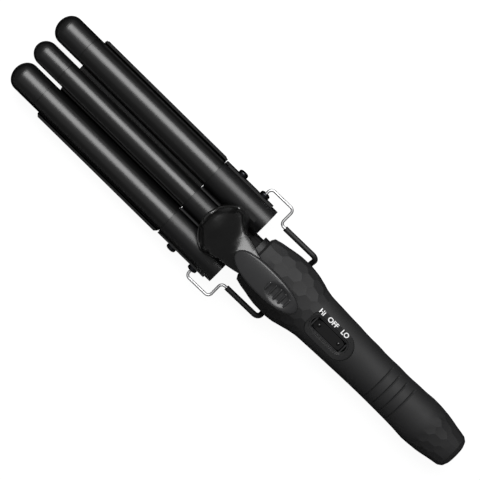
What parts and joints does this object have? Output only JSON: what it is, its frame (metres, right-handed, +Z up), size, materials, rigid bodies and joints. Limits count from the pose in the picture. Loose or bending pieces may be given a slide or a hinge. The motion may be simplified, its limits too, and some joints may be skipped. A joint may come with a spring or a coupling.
{
  "type": "triple-barrel hair waver",
  "caption": "Hand-held hair waver with parallel heated barrels, a sprung upper jaw with a thumb lever, a rocker switch and a folding wire stand.",
  "frame": {"origin": "on the resting surface, below the middle of the tool's length and width", "axes": "+X from the barrel tips to the cord end, +Y across the tool, +Z up, away from the resting surface"},
  "size_m": [0.384, 0.0832, 0.0587],
  "materials": {
    "coated_tube": "gloss black ceramic coating on aluminium tube",
    "tip_plastic": "satin black heat-resistant plastic",
    "collar_plastic": "semi-gloss black plastic",
    "heater_metal": "bare",
    "lever_plastic": "semi-gloss black plastic",
    "pad_plastic": "satin dark grey",
    "plate_coating": "satin black ceramic coating on aluminium",
    "cover_plastic": "satin black",
    "handle_plastic": "soft-touch black",
    "screw_steel": "zinc plated",
    "pin_steel": "blackened steel",
    "wire_chrome": "bright",
    "sleeve_rubber": "matte black",
    "spring_steel": "plain",
    "rocker_plastic": "gloss black",
    "bezel_plastic": "satin black",
    "board": "green laminate",
    "lead_insulation": "silicone"
  },
  "bodies": {
    "base": {"middle_barrel": "coated_tube", "middle_tip": "tip_plastic", "middle_collar": "collar_plastic", "middle_heater": "heater_metal", "wave_plate": "plate_coating", "plate_cover": "cover_plastic", "plate_heaters": "heater_metal", "cover_screws": "screw_steel", "cradle": "cover_plastic", "hinge_pins": "pin_steel", "stand_ferrules": "pin_steel", "jaw_spring": "spring_steel", "handle_top": "handle_plastic", "handle_bottom": "handle_plastic", "handle_screws": "screw_steel", "switch_bezel": "bezel_plastic", "switch_body": "bezel_plastic", "circuit_board": "board", "heater_leads": "lead_insulation", "mains_leads": "lead_insulation", "cord_gland": "sleeve_rubber"},
    "jaw": {"left_barrel": "coated_tube", "right_barrel": "coated_tube", "left_tip": "tip_plastic", "right_tip": "tip_plastic", "left_collar": "collar_plastic", "right_collar": "collar_plastic", "left_heater": "heater_metal", "right_heater": "heater_metal", "lever": "lever_plastic", "thumb_pad": "pad_plastic", "jaw_leads": "lead_insulation"},
    "stand": {"stand_wire": "wire_chrome", "stand_sleeve": "sleeve_rubber"},
    "rocker": {"rocker": "rocker_plastic"}
  },
  "joints": [
    {"name": "jaw_hinge", "type": "hinge", "parent": "base", "child": "jaw", "pos_m": [-0.0364, 0, 0.019], "axis": [0, 1, 0], "range_deg": [0, 12], "stiffness_Nm_per_rad": 1, "springref_deg": -20, "deforming": ["jaw_spring"]},
    {"name": "stand_pivot", "type": "hinge", "parent": "base", "child": "stand", "pos_m": [-0.0168, 0, 0.019], "axis": [0, 1, 0], "range_deg": [0, 100]},
    {"name": "rocker_pivot", "type": "hinge", "parent": "base", "child": "rocker", "pos_m": [0.0766, 0, 0.0274], "axis": [0, 1, 0], "range_deg": [-6, 6]}
  ]
}
